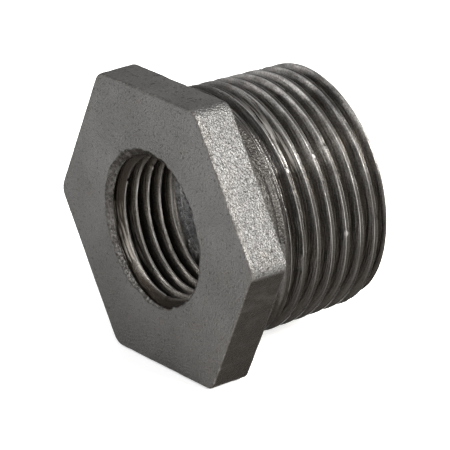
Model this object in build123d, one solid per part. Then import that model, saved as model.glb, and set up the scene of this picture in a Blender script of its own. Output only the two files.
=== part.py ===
from build123d import *
from math import ceil, cos, floor, pi, radians, sin, tan
import os

# Hex reducing bushing: one malleable iron casting with a tapered pipe thread outside and a smaller one inside.
# Millimetres. The axis is X: the hex head's face is at X = 0 and the threaded end at X = overall_length.
# +Z is the outward side of the top flat. Thread heights are measured along the axis from the head's face.

# Head, as cast
across_flats = 29.5
head_thickness = 4.3
flat_draft = 0.8            # degrees, each flat leans in towards the thread
corner_radius = 1.1
edge_chamfer = 0.2

# Barrel
overall_length = 20.0
barrel_radius = 13.2        # plain wall between the head and the thread
barrel_length = 1.6
neck_flare = 0.4            # 45 degree flare where the plain wall meets the head
end_chamfer = 0.34

# Both threads are tapered 1 in 16 on diameter and have 60 degree flanks
taper = 1 / 32              # on radius
flank_angle = 30.0

# Male thread, 14 to the inch
male_pitch = 25.4 / 14
male_crest_radius = 12.68   # at the small end
male_depth = 1.17
male_overrun = 0.59         # how far past the end face the groove crosses the top side
male_fade_length = 2.0      # the groove dies out over this length behind the barrel's plain wall

# Female thread, 18 to the inch
female_pitch = 25.4 / 18
female_crest_radius = 7.45  # at the head's face
female_depth = 1.12
female_length = 8.1         # to the end of the full thread
female_start = 1.09         # height at which the first groove crosses the top side
female_fade_turns = 0.6
mouth_radius = 8.65
mouth_depth = 1.1

# Cored passage behind the female thread
pilot_length = 1.6          # plain wall that the thread dies out in
shoulder_length = 0.8
core_radius = 8.7

facets_per_turn = 32        # of each groove


def male_crest(height):
    """Radius over the crests at this height."""
    return male_crest_radius + taper * (overall_length - height)


def female_crest(height):
    """Radius inside the crests at this height."""
    return female_crest_radius - taper * height


def polar(radius, turn, height):
    """The point at this radius, number of turns round the axis, and height."""
    return Vector(radius * cos(2 * pi * turn), radius * sin(2 * pi * turn), height)


def groove_cutter(tip_at, reach, height_at, first, last):
    """A 60 degree cutter between two facet marks of a right-hand helix, its tip at the groove's root.

    reach is how far its open side lies from the tip: outwards if positive. The lines between the facets lean
    a little from the axial plane, so that each facet of a flank is flat.
    """
    wide = abs(reach) * tan(radians(flank_angle))
    marks = range(first - 1, last + 2)
    turns = [mark / facets_per_turn for mark in marks]
    tips = [polar(tip_at(height_at(turn)), turn, height_at(turn)) for turn in turns]
    rims = []
    for side in (-wide, wide):
        normals = []
        for i, turn in enumerate(turns[:-1]):
            middle = turn + 0.5 / facets_per_turn
            height = height_at(middle)
            rim = polar(tip_at(height) + reach, middle, height + side)
            normals.append((tips[i + 1] - tips[i]).cross(rim - tips[i]))
        rims.append([])
        for i in range(1, len(turns) - 1):
            along = normals[i - 1].cross(normals[i])
            rims[-1].append(tips[i] + along * (reach / along.dot(polar(1, turns[i], 0))))
    rows = list(zip(tips[1:-1], *rims))
    outlines = [rows[0], rows[-1]]
    for near, far in zip(rows, rows[1:]):
        outlines.append([near[0], near[1], far[1], far[0]])
        outlines.append([near[0], near[2], far[2], far[0]])
        outlines.append([near[1], near[2], far[2]])
        outlines.append([near[1], far[2], far[1]])
    return Solid(Shell([Face(Wire.make_polygon(outline)) for outline in outlines]))


def cut_thread(body, tip_at, reach, height_at, first, last):
    """Cut the groove from the first turn to the last, one turn at a time."""
    whole_turns = range(floor(first) + 1, ceil(last))
    marks = [round(turn * facets_per_turn) for turn in (first, *whole_turns, last)]
    for start, end in zip(marks, marks[1:]):
        body = body - groove_cutter(tip_at, reach, height_at, start, end)
    return body


def make_head():
    """The hexagon with drafted flats and rounded corners and edges, a corner pair on each side of the top flat."""
    outline = RegularPolygon(across_flats / 2, 6, major_radius=False, rotation=30)
    outline = fillet(outline.vertices(), corner_radius)
    head = extrude(outline, head_thickness, taper=flat_draft)
    rims = head.edges().group_by(Axis.Z)
    return chamfer(rims[0] + rims[-1], edge_chamfer)


def make_barrel():
    """The turned blank of the male thread."""
    barrel_end = head_thickness + barrel_length
    step_end = barrel_end + 0.3
    chamfer_start = overall_length - end_chamfer
    profile = Polyline(
        (0, head_thickness / 2),
        (barrel_radius + neck_flare, head_thickness / 2),
        (barrel_radius + neck_flare, head_thickness),
        (barrel_radius, head_thickness + neck_flare),
        (barrel_radius, barrel_end),
        (male_crest(step_end), step_end),
        (male_crest(chamfer_start), chamfer_start),
        (male_crest(chamfer_start) - end_chamfer, overall_length),
        (0, overall_length),
        close=True,
    )
    return revolve(Plane.XZ * make_face(profile), Axis.Z)


def make_passage():
    """The hole through the part: countersunk mouth, tapered bore, plain pilot wall and cored passage."""
    pilot_radius = female_crest(female_length)
    pilot_end = female_length + pilot_length
    core_start = pilot_end + shoulder_length
    profile = Polyline(
        (0, 0),
        (mouth_radius, 0),
        (female_crest(mouth_depth), mouth_depth),
        (pilot_radius, female_length),
        (pilot_radius, pilot_end),
        (core_radius, core_start),
        (core_radius, overall_length),
        (0, overall_length),
        close=True,
    )
    return revolve(Plane.XZ * make_face(profile), Axis.Z)


def cut_male_thread(body):
    """Full depth to the end face, dying out towards the head."""
    fade_start = head_thickness + barrel_length
    fade_end = fade_start + male_fade_length
    clear = barrel_radius - male_crest(fade_start) + 0.15

    def tip_at(height):
        faded = min(max((fade_end - height) / male_fade_length, 0), 1.3)
        return male_crest(height) - male_depth + faded * (male_depth + clear)

    def height_at(turn):
        return overall_length + male_overrun + male_pitch * turn

    first = (fade_start - 0.2 * male_fade_length - height_at(0)) / male_pitch
    return cut_thread(body, tip_at, male_depth + 0.25, height_at, first, 0.6)


def cut_female_thread(body):
    """Full depth from the mouth, dying out in the pilot wall."""
    fade_length = female_fade_turns * female_pitch

    def tip_at(height):
        faded = min(max((height - female_length) / fade_length, 0), 1.3)
        return female_crest(min(height, female_length)) + female_depth - faded * (female_depth + 0.1)

    def height_at(turn):
        return female_start + female_pitch * turn

    first = -(female_start + female_pitch) / female_pitch
    last = (female_length + 1.2 * fade_length - female_start) / female_pitch
    return cut_thread(body, tip_at, -(female_depth + 0.06), height_at, first, last)


bushing = make_head() + make_barrel() - make_passage()
bushing = cut_male_thread(bushing)
bushing = cut_female_thread(bushing)

# local Z lies along the part's axis and local X points up
bushing = Plane(origin=(0, 0, 0), x_dir=(0, 0, 1), z_dir=(1, 0, 0)).location * bushing

os.makedirs("parts", exist_ok=True)
export_step(bushing, "parts/hex_bushing.step")
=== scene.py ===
import math

import bmesh
import bpy
import numpy as np
from mathutils import Matrix, Vector


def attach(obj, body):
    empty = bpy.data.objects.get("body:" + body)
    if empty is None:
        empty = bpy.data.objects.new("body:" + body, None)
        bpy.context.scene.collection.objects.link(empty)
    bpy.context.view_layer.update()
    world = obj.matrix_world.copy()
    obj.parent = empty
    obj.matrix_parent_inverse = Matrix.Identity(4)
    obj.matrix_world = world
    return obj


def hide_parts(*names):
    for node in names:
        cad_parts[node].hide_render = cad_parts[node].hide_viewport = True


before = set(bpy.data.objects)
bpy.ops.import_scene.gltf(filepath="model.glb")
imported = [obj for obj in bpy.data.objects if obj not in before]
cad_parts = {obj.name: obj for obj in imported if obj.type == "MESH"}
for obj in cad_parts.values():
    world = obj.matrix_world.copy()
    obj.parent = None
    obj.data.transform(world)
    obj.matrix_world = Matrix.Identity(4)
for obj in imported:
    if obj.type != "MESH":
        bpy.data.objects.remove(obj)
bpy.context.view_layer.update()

# One skin takes the place of the bushing's solid. Lengths are in millimetres, with the axis along X from the
# head's face to the threaded end and the top flat facing +Z. MM turns them into Blender's metres.
# Angles run round the axis from the top flat, in radians.
MM = 0.001

# Head
HALF_FLATS = 14.75
HEAD_THICKNESS = 4.3
FLAT_DRAFT = math.radians(0.8)
CORNER_RADIUS = 1.45
EDGE_RADIUS = 0.2

# Barrel and male thread
LENGTH = 20.0
BARREL_RADIUS = 13.2
BARREL_END = 5.9
NECK_FLARE = 0.4
END_CHAMFER = 0.34
TAPER = 1 / 32              # on radius, of both threads
FLANK = math.tan(math.radians(30))
MALE_PITCH = 25.4 / 14
MALE_CREST = 12.68          # radius at the threaded end
MALE_DEPTH = 1.17
MALE_GROOVE = 20.59         # a groove's height where it crosses the top side
MALE_START = BARREL_END - 0.1
MALE_FADE = 2.0             # the grooves die out over this length
GROOVE_FLAT = 0.07          # half the width of a groove's floor
CAST_BELOW = 6.9            # the barrel is as cast up to here

# The die stopped cutting at one angle. Before it the run-out reaches further and further, and ends in a step.
DIE_STOP = math.radians(57)
STEP_ANGLE = 0.9
STEP_LENGTH = 0.8

# Female thread, mouth and cored passage
FEMALE_PITCH = 25.4 / 18
FEMALE_CREST = 7.45         # radius at the head's face
FEMALE_DEPTH = 1.12
FEMALE_GROOVE = 1.09
FEMALE_END = 8.1
FEMALE_FADE = 0.85
CAST_ABOVE = 9.3            # the bore is as cast from here
MOUTH_RADIUS = 8.4
MOUTH_DEPTH = 0.8
PILOT_END = 9.7
CORE_START = 10.5
CORE_RADIUS = 8.7

# The countersink sits off the axis. So did the core, and the female thread is cut short on the same side.
OFF_SIDE = math.radians(285)
MOUTH_SHIFT = 0.45
SHORT_BY = 1.1
SHORT_FROM = 7.5            # from here the wall is rough on that side
SHORT_DEPTH = 0.4           # and lies this much deeper
CHEWED_SIDE = math.radians(222)     # of the countersink's edge
CHEWED_DEPTH = 0.3

# Wear and damage on the barrel: height and angle of the middle, then reach along the thread and across it
ROUGH_PATCH = (7.8, 0.75, 2.6, 0.5)
SCORED_GROOVE = (9.75, 0.66, 4.5, 0.75)
# The worn line also carries a painted highlight, through the crest mark.
WORN_AND_HIGHLIT_LINE = (7.1, 1.5, 14, 0.08)
HOLLOWS = ((6.76, 1.7, 12, 0.17), (7.45, 1.7, 12, 0.15))    # on both sides of the worn line
BURRS = ((6.95, 0.97, 0.3, 0.2), (9.1, 1.0, 0.35, 0.22), (9.25, 0.69, 0.25, 0.15),
         (12.7, 0.95, 0.3, 0.15), (15.9, 0.86, 0.3, 0.15), (14.6, 1.62, 0.4, 0.2))
HOLLOW_DEPTH = 0.32
BURR_HEIGHT = 0.13

# Uneven surfaces: height, size and seed of each set of lumps
MOUTH_LUMPS = ((0.14, 1.5, 7), (0.16, 0.6, 8))
CAST_LUMPS = ((0.030, 4.0, 1), (0.022, 1.3, 2), (0.016, 0.6, 3))
TORN_LUMPS = ((0.06, 1.6, 4), (0.05, 0.7, 5), (0.05, 0.35, 9))
NICK_SIZE = 0.5
NICK_SEED = 6
NICK_DEPTH = 0.35
HEAD_SKIN = 0.14            # the head stands this far off the solid
SKIN = 0.03                 # and all the rest this far

COLUMNS = 348
ANGLES = np.arange(COLUMNS) * 2 * math.pi / COLUMNS
SHORT_SIDE = np.clip(1.6 * np.cos(ANGLES - OFF_SIDE), 0, 1)


# ---------------------------------------------------------------- shapes

def head_side(x):
    """Distance from the axis to the head's drafted side at every column, with its rounded corners."""
    grow = -x * math.tan(FLAT_DRAFT)
    flat = HALF_FLATS + grow
    radius = CORNER_RADIUS + grow
    turn = (ANGLES + math.pi / 6) % (math.pi / 3) - math.pi / 6
    centre = (flat - radius) / math.cos(math.pi / 6)
    to_corner = math.pi / 6 - np.abs(turn)
    inside = radius ** 2 - (centre * np.sin(to_corner)) ** 2
    on_corner = centre * np.cos(to_corner) + np.sqrt(np.maximum(inside, 0))
    on_flat = flat * np.tan(np.abs(turn)) < centre * math.sin(math.pi / 6)
    return np.where(on_flat, flat / np.cos(turn), on_corner)


def from_groove(x, groove, pitch):
    """Distance along the axis to the middle of the nearest groove."""
    middle = groove + pitch * ANGLES / (2 * math.pi)
    return np.abs((x - middle + pitch / 2) % pitch - pitch / 2)


def male_surface(x):
    """Radius of the threaded barrel and how far it has risen from root to crest, from 0 to 1."""
    tapered = MALE_CREST + TAPER * (LENGTH - x)
    blank = np.minimum(tapered, MALE_CREST - (x - (LENGTH - END_CHAMFER)))
    past_stop = ANGLES - DIE_STOP
    further = STEP_LENGTH * np.clip(1 + past_stop / STEP_ANGLE, 0, 1) * (past_stop < 0)
    fade = np.clip((BARREL_END + MALE_FADE - x + further) / MALE_FADE, 0, 1.6)
    root = tapered - MALE_DEPTH + (MALE_DEPTH + 0.15) * fade
    from_floor = np.maximum(from_groove(x, MALE_GROOVE, MALE_PITCH) - GROOVE_FLAT, 0)
    radius = np.minimum(blank, root + from_floor / FLANK)
    return radius, np.clip((radius - tapered + MALE_DEPTH) / MALE_DEPTH, 0, 1)


def female_surface(x):
    """Radius of the threaded bore and how far it has risen from root to crest, from 0 to 1."""
    blank = FEMALE_CREST - TAPER * x
    fade = np.clip((x - FEMALE_END + SHORT_BY * SHORT_SIDE) / FEMALE_FADE, 0, 1.3)
    root = blank + FEMALE_DEPTH * (1 - fade)
    radius = np.maximum(blank, root - from_groove(x, FEMALE_GROOVE, FEMALE_PITCH) / FLANK)
    return radius, np.clip((blank + FEMALE_DEPTH - radius) / FEMALE_DEPTH, 0, 1)


def lumps(points, size, seed):
    """Smooth random values from -1 to 1 with features of this size."""
    scaled = points / size + seed * 17.3
    cell = np.floor(scaled)
    part = scaled - cell
    part = part * part * (3 - 2 * part)
    total = np.zeros(len(points))
    for corner in np.ndindex(2, 2, 2):
        mixed = np.sin((cell + corner) @ np.array((127.1, 311.7, 74.7))) * 43758.5453
        value = (mixed - np.floor(mixed)) * 2 - 1
        total += value * np.prod(np.where(corner, part, 1 - part), axis=1)
    return total


def uneven(points, sets):
    return sum(height * lumps(points, size, seed) for height, size, seed in sets)


def ragged_mouth():
    """Radius of the countersink's edge at every column."""
    sideways = MOUTH_RADIUS * np.sin(ANGLES)
    upwards = MOUTH_RADIUS * np.cos(ANGLES)
    circle = np.stack((np.zeros(COLUMNS), sideways, upwards), axis=1)
    chewed = np.clip(1.5 * np.cos(ANGLES - CHEWED_SIDE) - 0.5, 0, 1)
    shifted = MOUTH_RADIUS + MOUTH_SHIFT * np.cos(ANGLES - OFF_SIDE)
    return shifted + uneven(circle, MOUTH_LUMPS) + CHEWED_DEPTH * chewed


# ---------------------------------------------------------------- mesh

# A point is an x, a radius and a column. Its marks, from 0 to 1, are what the look goes by: cut by a tool,
# risen from root to crest, on the edge of a crest, inside the bore, torn, on an edge of the head, left by the
# core.
places = []
marks = {name: [] for name in ("machined", "rise", "crest", "inside", "rough", "edge", "core")}
faces = []


def add(x, r, column, values):
    places.append((x, r, column))
    for name, column_values in marks.items():
        column_values.append(values.get(name, 0.0))
    return len(places) - 1


def ring(x, r, **values):
    """One row of points round the axis. Each argument is a number, or one number for every column."""
    xs = np.broadcast_to(x, COLUMNS)
    rs = np.broadcast_to(r, COLUMNS)
    spread = {name: np.broadcast_to(value, COLUMNS) for name, value in values.items()}
    return [add(xs[i], rs[i], i, {name: value[i] for name, value in spread.items()}) for i in range(COLUMNS)]


def face(*corners):
    """A face without repeated corners, where it still has an area."""
    kept = [c for i, c in enumerate(corners) if c != corners[i - 1]]
    if len(set(kept)) == len(kept) >= 3:
        faces.append(kept)


def band(first, second):
    for i in range(COLUMNS):
        j = (i + 1) % COLUMNS
        face(first[i], second[i], second[j], first[j])


def rings(previous, rows, **values):
    """Rows joined to the ring before them, given as pairs of x and radius. Returns the last."""
    for x, r in rows:
        row = ring(x, r, **values)
        band(previous, row)
        previous = row
    return previous


def between(first, last, count):
    """Evenly spaced rows from one x and radius to another, without the first."""
    return [(first[0] + (last[0] - first[0]) * t, first[1] + (last[1] - first[1]) * t)
            for t in np.linspace(0, 1, count + 1)[1:]]


def quarter(count):
    """For each row of a quarter round, how far it has come one way and has yet to go the other."""
    return [(1 - math.cos(t), 1 - math.sin(t)) for t in np.linspace(0, math.pi / 2, count + 1)[1:]]


def both_flanks(half, pitch):
    """The steps of a whole pitch from those of half a pitch."""
    return half + [(pitch - offset, crest) for offset, crest in reversed(half[1:-1])]


def threaded(first, last, span, pitch, groove, steps, surface, cut, **values):
    """Rows that follow the helix between the rings first and last, which stand at the heights in span.

    Each step is a distance past the middle of a groove, with the crest mark there. The surface is machined
    between the heights in cut and torn beyond them. What lies nearer to a ring than merge becomes part of it.
    """
    start, end = span
    merge = 0.025
    heights = []
    turn = math.floor((start - pitch - groove) / pitch) - 1
    while groove + (turn - 1) * pitch < end:
        heights += [(groove + turn * pitch + offset, crest) for offset, crest in steps]
        turn += 1
    table = []
    for height, crest in heights:
        xs = height + pitch * ANGLES / (2 * math.pi)
        rs, rise = surface(xs)
        line = []
        for i in range(COLUMNS):
            if xs[i] < start + merge:
                line.append(first[i])
            elif xs[i] > end - merge:
                line.append(last[i])
            else:
                machined = float(cut[0] < xs[i] < cut[1])
                here = {"machined": machined, "rough": 1 - machined, "rise": rise[i], "crest": crest}
                line.append(add(xs[i], rs[i], i, {**here, **values}))
        table.append(line)
    # past its last column each row goes on in the row one turn further along
    one_turn_on = table[len(steps):] + [[last[0]]] * len(steps)
    for j in range(len(heights) - 1):
        for i in range(COLUMNS):
            if i + 1 < COLUMNS:
                low, high = table[j][i + 1], table[j + 1][i + 1]
            else:
                low, high = one_turn_on[j][0], one_turn_on[j + 1][0]
            face(table[j][i], table[j + 1][i], high, low)


def build_head(mouth, mouth_edge):
    """From the mouth's edge over the face and the flats to the neck, and the plain barrel."""
    face_rim = head_side(0.0) - EDGE_RADIUS
    spread = np.linspace(0, 1, 24)[1:] ** 1.25
    row = rings(mouth, [(0.0, mouth_edge + (face_rim - mouth_edge) * t) for t in spread])
    rows = [(EDGE_RADIUS * a, head_side(EDGE_RADIUS * a) - EDGE_RADIUS * b) for a, b in quarter(4)]
    row = rings(row, rows, edge=1.0)
    rows = [(x, head_side(x)) for x in np.linspace(EDGE_RADIUS, HEAD_THICKNESS - EDGE_RADIUS, 19)[1:]]
    row = rings(row, rows)
    back = head_side(HEAD_THICKNESS)
    rows = [(HEAD_THICKNESS - EDGE_RADIUS * b, back - EDGE_RADIUS * a) for a, b in quarter(4)]
    row = rings(row, rows, edge=0.6)
    neck_rim = BARREL_RADIUS + NECK_FLARE
    row = rings(row, between((HEAD_THICKNESS, back - EDGE_RADIUS), (HEAD_THICKNESS, neck_rim), 6))
    rows = [(HEAD_THICKNESS + NECK_FLARE * a, BARREL_RADIUS + NECK_FLARE * b) for a, b in quarter(3)]
    row = rings(row, rows, rough=0.9)
    rows = [(x, BARREL_RADIUS) for x in np.linspace(HEAD_THICKNESS + NECK_FLARE, MALE_START, 6)[1:]]
    return rings(row, rows, rough=1.0)


def build_male_thread(barrel):
    """The male thread, its chamfered end and the end face."""
    corner = MALE_DEPTH * FLANK + GROOVE_FLAT
    steps = both_flanks([(0, 0), (GROOVE_FLAT, 0), (0.38, 0), (corner - 0.05, 0.1), (corner, 1),
                         (corner + 0.05, 0.2), (MALE_PITCH / 2, 0)], MALE_PITCH)
    thread_end = LENGTH - END_CHAMFER
    radius, rise = male_surface(thread_end)
    row = ring(thread_end, radius, machined=1.0, rise=rise)
    threaded(barrel, row, (MALE_START, thread_end), MALE_PITCH, MALE_GROOVE, steps, male_surface,
             (CAST_BELOW, LENGTH))
    for x in np.linspace(thread_end, LENGTH, 4)[1:]:
        radius, rise = male_surface(x)
        row = rings(row, [(x, radius)], machined=1.0, rise=rise)
    end_face = between((LENGTH, radius), (LENGTH, CORE_RADIUS), 8)[:-1]
    return rings(row, end_face, machined=1.0, rise=0.8)


def build_passage(end_face):
    """The cored passage and the shoulder, to where the pilot starts."""
    rows = [(x, CORE_RADIUS) for x in np.linspace(LENGTH, CORE_START, 16)]
    row = rings(end_face, rows, core=1.0, rough=1.0, inside=1.0)
    shoulder = between((CORE_START, CORE_RADIUS), (PILOT_END, FEMALE_CREST - TAPER * FEMALE_END), 5)
    return rings(row, shoulder, core=0.7, rough=1.0, inside=1.0)


def build_female_thread(pilot, mouth, mouth_edge):
    """The pilot, the female thread and the countersink, which the first groove breaks into."""
    corner = FEMALE_DEPTH * FLANK
    steps = both_flanks([(0, 0), (0.07, 0), (0.24, 0), (0.42, 0), (corner - 0.05, 0.1), (corner, 0.8),
                         (FEMALE_PITCH / 2, 1)], FEMALE_PITCH)
    radius, rise = female_surface(MOUTH_DEPTH)
    row = ring(MOUTH_DEPTH, radius, machined=1.0, rise=rise, inside=1.0)
    threaded(row, pilot, (MOUTH_DEPTH, PILOT_END), FEMALE_PITCH, FEMALE_GROOVE, steps, female_surface,
             (0, CAST_ABOVE), inside=1.0)
    throat = FEMALE_CREST - TAPER * MOUTH_DEPTH
    for x in np.linspace(MOUTH_DEPTH, 0, 10)[1:-1]:
        radius, rise = female_surface(x)
        cone = mouth_edge + (throat - mouth_edge) * (x / MOUTH_DEPTH) ** 0.8
        cut = np.clip((radius - cone) / 0.1, 0, 1)
        rows = [(x, np.maximum(cone, radius))]
        row = rings(row, rows, machined=cut, rise=rise, rough=1 - cut, inside=1.0)
    band(row, mouth)


edge_of_mouth = ragged_mouth()
mouth_ring = ring(0.0, edge_of_mouth, rough=1.0)
barrel_ring = build_head(mouth_ring, edge_of_mouth)
end_ring = build_male_thread(barrel_ring)
pilot_ring = build_passage(end_ring)
build_female_thread(pilot_ring, mouth_ring, edge_of_mouth)

xs, rs, columns = (np.array(values) for values in zip(*places))
turns = ANGLES[columns]
points = np.stack((xs, -rs * np.sin(turns), rs * np.cos(turns)), axis=1)
marks = {name: np.array(values, float) for name, values in marks.items()}

mesh = bpy.data.meshes.new("bushing_skin")
mesh.from_pydata(points.tolist(), [], faces)
work = bmesh.new()
work.from_mesh(mesh)
bmesh.ops.recalc_face_normals(work, faces=work.faces)
work.to_mesh(mesh)
work.free()
normals = np.zeros(len(points) * 3)
mesh.vertex_normals.foreach_get("vector", normals)
normals = normals.reshape(-1, 3)


# ---------------------------------------------------------------- damage and roughness

def near(x, angle, along, across):
    """1 at one point of the barrel's surface, falling off along the thread and across it."""
    helix = x + MALE_PITCH * (turns - angle) / (2 * math.pi)
    round_barrel = (turns - angle) * BARREL_RADIUS / along
    outside = (marks["inside"] == 0) & (xs > HEAD_THICKNESS + 0.2)
    return np.exp(-round_barrel ** 2 - ((xs - helix) / across) ** 2) * outside


patch = np.clip(1.6 * near(*ROUGH_PATCH), 0, 1) * (turns < DIE_STOP)
hollow = sum(near(*middle) for middle in HOLLOWS) * (turns > DIE_STOP)
burr = np.max([near(*middle) for middle in BURRS], axis=0)
short = SHORT_SIDE[columns] * np.clip((xs - SHORT_FROM) / 0.3, 0, 1) * (rs < CORE_RADIUS - 0.01)
short *= marks["inside"]
marks["rough"] = np.max([marks["rough"], short, patch], axis=0)
marks["machined"] = marks["machined"] * (1 - short) * (1 - patch)
marks["core"] = np.maximum(marks["core"], short)
marks["crest"] = np.max([marks["crest"], burr, near(*WORN_AND_HIGHLIT_LINE)], axis=0)
marks["scored"] = np.clip(1.5 * near(*SCORED_GROOVE), 0, 1) * (turns < DIE_STOP + 0.03)

cast = 1 - marks["machined"]
torn = marks["rough"] * np.where(marks["inside"] > 0, 1, 0.4)
nick = np.clip(lumps(points * (1, 0.5, 0.5), NICK_SIZE, NICK_SEED) - 0.55, 0, 1) * NICK_DEPTH
on_head = (xs < HEAD_THICKNESS + 0.1) & (marks["inside"] == 0)
shift = cast * (uneven(points, CAST_LUMPS) - 0.02) + torn * (uneven(points, TORN_LUMPS) - 0.05)
shift += np.where(on_head, HEAD_SKIN, SKIN)
shift -= marks["machined"] * np.clip(marks["rise"] - 0.8, 0, 1) * 5 * nick
shift += BURR_HEIGHT * burr - HOLLOW_DEPTH * hollow - SHORT_DEPTH * short
points = points + normals * shift[:, None]
points[:, 0] = np.clip(points[:, 0], 0, LENGTH)

mesh.vertices.foreach_set("co", (points * MM).ravel())
for name, values in marks.items():
    mesh.attributes.new(name, "FLOAT", "POINT").data.foreach_set("value", values)
mesh.polygons.foreach_set("use_smooth", [True] * len(mesh.polygons))
mesh.update()

bushing = bpy.data.objects.new("bushing_skin", mesh)
bpy.context.scene.collection.objects.link(bushing)
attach(bushing, "root")
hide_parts("hex_bushing")


# ---------------------------------------------------------------- looks

def grey(value, warmth=0.0):
    return (value * (1 + warmth), value, value * (1 - warmth), 1)


class Nodes:
    """Short ways to fill an emptied node tree. What they take is a socket, a number or a colour."""

    def __init__(self, tree):
        self.tree = tree
        tree.nodes.clear()

    def node(self, kind, inputs=None, **settings):
        made = self.tree.nodes.new(kind)
        for name, value in settings.items():
            setattr(made, name, value)
        for name, value in (inputs or {}).items():
            if isinstance(value, bpy.types.NodeSocket):
                self.tree.links.new(value, made.inputs[name])
            else:
                made.inputs[name].default_value = value
        return made

    def noise(self, vector, scale, detail, rough=0.6):
        inputs = {"Vector": vector, "Scale": scale, "Detail": detail, "Roughness": rough}
        return self.node("ShaderNodeTexNoise", inputs).outputs["Fac"]

    def ramp(self, value, low, high, to_low=0.0, to_high=1.0):
        """The value taken from one range to another, and kept within it."""
        return self.node("ShaderNodeMapRange", {0: value, 1: low, 2: high, 3: to_low, 4: to_high}).outputs[0]

    def calc(self, operation, *values):
        return self.node("ShaderNodeMath", dict(enumerate(values)), operation=operation).outputs[0]

    def times(self, first, *others):
        for other in others:
            first = self.calc("MULTIPLY", first, other)
        return first

    def mix(self, factor, first, second):
        return self.node("ShaderNodeMix", {0: factor, 2: first, 3: second}).outputs[0]

    def blend(self, factor, first, second, how="MIX"):
        """Two colours mixed."""
        inputs = {0: factor, 6: first, 7: second}
        return self.node("ShaderNodeMix", inputs, data_type="RGBA", blend_type=how).outputs[2]


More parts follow.
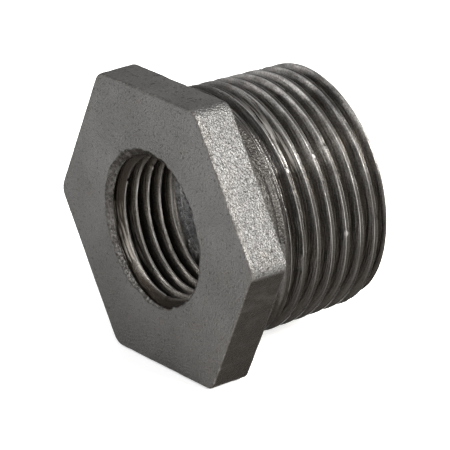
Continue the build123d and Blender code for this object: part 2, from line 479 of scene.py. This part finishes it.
class Iron(Nodes):
    """The bushing's material, which goes by the mesh's marks and by where a point lies."""

    def __init__(self, tree):
        super().__init__(tree)
        self.where = self.node("ShaderNodeTexCoord").outputs["Object"]
        self.x, _, self.z = self.node("ShaderNodeSeparateXYZ", {0: self.where}).outputs
        self.mark = {}
        for name in marks:
            self.mark[name] = self.node("ShaderNodeAttribute", attribute_name=name).outputs["Fac"]
        self.outside = self.ramp(self.mark["inside"], 0, 1, 1, 0)
        self.fine = self.noise(self.where, 5200, 2, 0.7)
        stretched = self.node("ShaderNodeMapping", {"Vector": self.where, "Scale": (1, 0.03, 0.03)})
        self.score_lines = self.noise(stretched.outputs[0], 9000, 2)

    def over_x(self, start, end, to_start=0.0, to_end=1.0):
        """A ramp between two distances from the head's face, in millimetres."""
        return self.ramp(self.x, start * MM, end * MM, to_start, to_end)

    def over_z(self, start, end, to_start=0.0, to_end=1.0):
        """A ramp between two heights over the axis, in millimetres."""
        return self.ramp(self.z, start * MM, end * MM, to_start, to_end)

    def cast(self):
        """Mottled grey with fine dark pits and faint brown clouds, with painted shade low down, and darker at
        the neck.
        """
        mottle = self.ramp(self.noise(self.where, 160, 4), 0.35, 0.65)
        colour = self.blend(mottle, grey(0.072, 0.02), grey(0.100, 0.01))
        stain = self.ramp(self.noise(self.where, 420, 4, 0.7), 0.52, 0.72, 0, 0.4)
        colour = self.blend(stain, colour, grey(0.075, 0.16))
        colour = self.blend(self.ramp(self.fine, 0.35, 0.65, 0, 0.5), colour, grey(0.13, 0.01))
        pits = self.ramp(self.noise(self.where, 3000, 1, 0.5), 0.28, 0.39, 0.75, 0)
        colour = self.blend(pits, colour, grey(0.025, 0.08))
        colour = self.blend(self.ramp(self.mark["rough"], 0.3, 1, 0, 0.85), colour, self.torn())
        wall = self.ramp(self.noise(self.where, 2000, 3, 0.7), 0.30, 0.70)
        wall = self.blend(wall, grey(0.06, 0.05), grey(0.30, -0.02))
        colour = self.blend(self.mark["core"], colour, wall)
        # painted shade: the cast iron darkens towards the bottom
        colour = self.blend(self.over_z(6, -13, 0, 0.36), colour, grey(0.038, 0.12))
        neck = self.over_x(HEAD_THICKNESS - 0.1, HEAD_THICKNESS + 0.5, 0, 0.45)
        colour = self.blend(self.times(neck, self.outside), colour, grey(0.030, 0.05))

        # the edges of the head are worn through to speckles
        speckles = self.ramp(self.noise(self.where, 1700, 3, 0.7), 0.50, 0.62)
        worn_through = self.times(self.mark["edge"], self.ramp(speckles, 0, 1, 0.4, 0.8))
        return self.blend(worn_through, colour, self.blend(speckles, grey(0.05, 0.12), grey(0.14, 0.03)))

    def torn(self):
        """Dark broken iron, with light flecks low down inside the bore as painted light."""
        crumbs = self.ramp(self.noise(self.where, 2400, 3, 0.75), 0.40, 0.62)
        colour = self.blend(crumbs, grey(0.010, 0.15), grey(0.070, 0.06))
        lit_flecks = self.ramp(self.noise(self.where, 3000, 2), 0.48, 0.58)
        # painted light: the light flecks show only low in the bore
        lit_flecks = self.times(self.mark["inside"], self.over_z(0, -3), lit_flecks)
        return self.blend(lit_flecks, colour, grey(0.17, 0.03))

    def thread(self):
        """Dark oiled flanks, lightening towards the crests as painted shade in the grooves, with painted
        sheen and score lines along the thread.
        """
        inside = self.mark["inside"]
        rise = self.mark["rise"]
        patches = self.noise(self.where, 420, 3, 0.65)
        # painted shade in the roots of the grooves, darker still inside the bore
        deep = self.blend(patches, grey(0.010, 0.10), grey(0.030, 0.16))
        deep = self.blend(self.times(inside, 0.5), deep, grey(0.010, 0.2))
        high = self.blend(self.score_lines, grey(0.05, 0.05), grey(0.13, 0.02))
        bright = self.blend(self.score_lines, grey(0.14, 0.05), grey(0.48, 0.03))

        # painted sheen at the upper right of the barrel and low in the bore
        painted_sheen = self.ramp(self.noise(self.where, 240, 2, 0.5), 0.36, 0.54)
        painted_sheen = self.times(self.over_z(3, 8), self.over_x(9, 13), painted_sheen)
        lit_low_in_bore = self.over_z(1, -5, 0, 0.6)
        high = self.blend(self.mix(inside, painted_sheen, lit_low_in_bore), high, bright)

        # the painted shade reaches further up the flanks inside, and nearly to the crest at the lip of the
        # mouth
        lip = self.calc("ADD", self.over_z(-3.5, -1), self.over_z(-6.2, -7.2))
        lip = self.times(self.over_x(1.8, 1.4), inside, lip)
        sharp = self.mix(inside, 2.0, self.ramp(lit_low_in_bore, 0, 0.6, 5, 3))
        sharp = self.calc("MULTIPLY_ADD", lip, 8, sharp)
        colour = self.blend(self.calc("POWER", rise, sharp), deep, high)
        # painted reflection of dark surroundings: the flat tops of the outer crests are darkened
        flat_crest = self.ramp(rise, 0.96, 0.999, 0, self.times(self.outside, 0.85))
        colour = self.blend(flat_crest, colour, grey(0.022, 0.08))

        # grit, brown patches and the lip's painted shade over all of it, and then the score lines that shine,
        # with a painted highlight on those low in the bore
        colour = self.blend(1.0, colour, self.ramp(self.fine, 0.38, 0.62, 0.70, 1.28), "MULTIPLY")
        colour = self.blend(self.ramp(patches, 0.52, 0.68, 0, 0.35), colour, grey(0.030, 0.25))
        colour = self.blend(self.times(lip, 0.75), colour, grey(0.010, 0.2))
        scored = self.times(self.mark["scored"], self.ramp(self.score_lines, 0.44, 0.56))
        colour = self.blend(scored, colour, grey(0.36, 0.04))
        first_turns = self.times(inside, self.over_x(3.5, 1.5))
        # painted highlight on the chatter lines low in the first turns of the bore
        chatter_highlight = self.times(first_turns, self.times(lit_low_in_bore, self.over_z(-6.6, -5.4)))
        chatter_highlight = self.times(chatter_highlight, self.ramp(self.score_lines, 0.46, 0.56))
        colour = self.blend(chatter_highlight, colour, grey(0.34, 0.04))
        return self.blend(inside, colour, (1.05, 1.0, 0.94, 1), "MULTIPLY")

    def wear_and_highlight(self):
        """Where the edges of the crests are worn bright, with a painted highlight on them that fades under
        the barrel.
        """
        patchy = self.ramp(self.noise(self.where, 260, 3), 0.38, 0.62, 0.3, 1)
        highlight_reach = self.calc("MAXIMUM", self.over_z(-8, 2, 0.3, 1), self.mark["inside"])
        return self.times(self.ramp(self.mark["crest"], 0.45, 0.95), patchy, highlight_reach)

    def painted_underside_shade(self):
        """Painted shade on surfaces that face down, and on the thread low on the barrel."""
        normal = self.node("ShaderNodeNewGeometry").outputs["Normal"]
        facing_up = self.node("ShaderNodeSeparateXYZ", {0: normal}).outputs[2]
        low = self.times(self.over_z(7, -6, 0, 0.72), self.mark["machined"], self.outside)
        return self.calc("MAXIMUM", self.ramp(facing_up, -0.25, -0.5, 0, 0.92), low)

    def finish(self):
        """Joins the parts of the look in one shader."""
        machined = self.mark["machined"]
        wear_and_highlight = self.wear_and_highlight()
        colour = self.blend(machined, self.cast(), self.thread())
        # wear on the crest edges, and a painted highlight on them
        colour = self.blend(wear_and_highlight, colour, grey(0.36, 0.02))
        # painted shade underneath
        colour = self.blend(self.painted_underside_shade(), colour, grey(0.015, 0.16))
        metallic = self.ramp(wear_and_highlight, 0, 1, 0.88, 0.95)
        metallic = self.calc("SUBTRACT", metallic, self.times(self.mark["inside"], 0.08))
        grains = self.noise(self.where, 4600, 1)
        scratches = self.calc("MULTIPLY_ADD", self.fine, 0.22, self.times(self.score_lines, 0.4))
        height = self.mix(machined, grains, scratches)
        bump = self.node("ShaderNodeBump", {"Height": height, "Strength": 1.0, "Distance": 0.19 * MM})
        shader = self.node("ShaderNodeBsdfPrincipled", {
            "Base Color": colour,
            "Metallic": metallic,
            "Roughness": self.ramp(machined, 0, 1, 0.46, 0.30),
            "Specular IOR Level": 0.25,
            "Specular Tint": grey(0.35),
            "Normal": bump.outputs[0],
        })
        self.node("ShaderNodeOutputMaterial", {"Surface": shader.outputs[0]})


def new_material(name):
    material = bpy.data.materials.new(name)
    material.use_nodes = True
    return material


iron = new_material("iron")
Iron(iron.node_tree).finish()
mesh.materials.append(iron)


# ---------------------------------------------------------------- camera

# The camera's right, down and forward directions, and the way along each of them from the camera to the
# middle of the head's face, in half flats.
RIGHT = Vector((0.81654898, -0.57423656, -0.05916205))
DOWN = Vector((-0.25090048, -0.26072763, -0.93223926))
AHEAD = Vector((0.51990068, 0.77606281, -0.35697311))
TO_HEAD = Vector((-0.482524613, 0.0392128840, 30.1629315))
camera_data = bpy.data.cameras.new("camera")
camera_data.lens = 353.18
camera_data.sensor_width = 36
camera_data.clip_start = 0.01
camera_data.clip_end = 50
camera = bpy.data.objects.new("camera", camera_data)
stand = -(Matrix((RIGHT, DOWN, AHEAD)).transposed() @ TO_HEAD) * HALF_FLATS * MM
camera.matrix_world = Matrix.Translation(stand) @ Matrix((RIGHT, -DOWN, -AHEAD)).transposed().to_4x4()
bpy.context.scene.collection.objects.link(camera)
bpy.context.scene.camera = camera


# ---------------------------------------------------------------- floor and light

# In metres, and as shares of white
LAMP_DISTANCE = 0.60
FLOOR_SIZE = 6.0
FLOOR_HEIGHT = -(HALF_FLATS + 0.25) * MM    # just clear of the bottom flat
PAPER = 0.9
PAPER_GLOW = 0.4            # added only where it is seen
SKY = 0.7
SKY_GLOW = 0.3              # likewise


def softbox(name, direction, size, power, colour=(1, 1, 1)):
    """A lamp that lies in this direction and faces the bushing."""
    data = bpy.data.lights.new(name, "AREA")
    data.shape = "RECTANGLE"
    data.size, data.size_y = size
    data.energy = power
    data.color = colour
    lamp = bpy.data.objects.new(name, data)
    direction = Vector(direction).normalized()
    lamp.location = direction * LAMP_DISTANCE
    lamp.rotation_euler = direction.to_track_quat("Z", "Y").to_euler()
    bpy.context.scene.collection.objects.link(lamp)


def seen(nodes):
    """1 where a camera, glossy or transmission ray looks, and 0 for the rays that light the object."""
    path = nodes.node("ShaderNodeLightPath").outputs
    mirrored = nodes.calc("MAXIMUM", path["Is Glossy Ray"], path["Is Transmission Ray"])
    return nodes.calc("MAXIMUM", path["Is Camera Ray"], mirrored)


def build_floor():
    sides = ((-1, -1), (1, -1), (1, 1), (-1, 1))
    corners = [(x * FLOOR_SIZE, y * FLOOR_SIZE, FLOOR_HEIGHT) for x, y in sides]
    floor_mesh = bpy.data.meshes.new("floor")
    floor_mesh.from_pydata(corners, [], [(0, 1, 2, 3)])
    floor = bpy.data.objects.new("floor", floor_mesh)
    bpy.context.scene.collection.objects.link(floor)
    paper = new_material("paper")
    nodes = Nodes(paper.node_tree)
    matt = nodes.node("ShaderNodeBsdfDiffuse", {"Color": grey(PAPER)})
    glow = nodes.node("ShaderNodeEmission", {"Strength": nodes.times(seen(nodes), PAPER_GLOW)})
    both = nodes.node("ShaderNodeAddShader", {0: matt.outputs[0], 1: glow.outputs[0]})
    nodes.node("ShaderNodeOutputMaterial", {"Surface": both.outputs[0]})
    floor_mesh.materials.append(paper)


def build_world():
    world = bpy.data.worlds.new("world")
    bpy.context.scene.world = world
    world.use_nodes = True
    nodes = Nodes(world.node_tree)
    strength = nodes.calc("MULTIPLY_ADD", seen(nodes), SKY_GLOW, SKY)
    sky = nodes.node("ShaderNodeBackground", {"Color": grey(1.0), "Strength": strength})
    nodes.node("ShaderNodeOutputWorld", {"Surface": sky.outputs[0]})


softbox("key", (0.25, -0.78, 0.57), (0.18, 0.34), 12.0, (1, 0.98, 0.94))
softbox("sheen", (-0.83, 0.43, 0.38), (0.2, 0.16), 1.2)
softbox("front", (-0.6, -0.58, 0.55), (0.2, 0.2), 0.7)
build_floor()
build_world()
bpy.context.scene.view_settings.view_transform = "Standard"
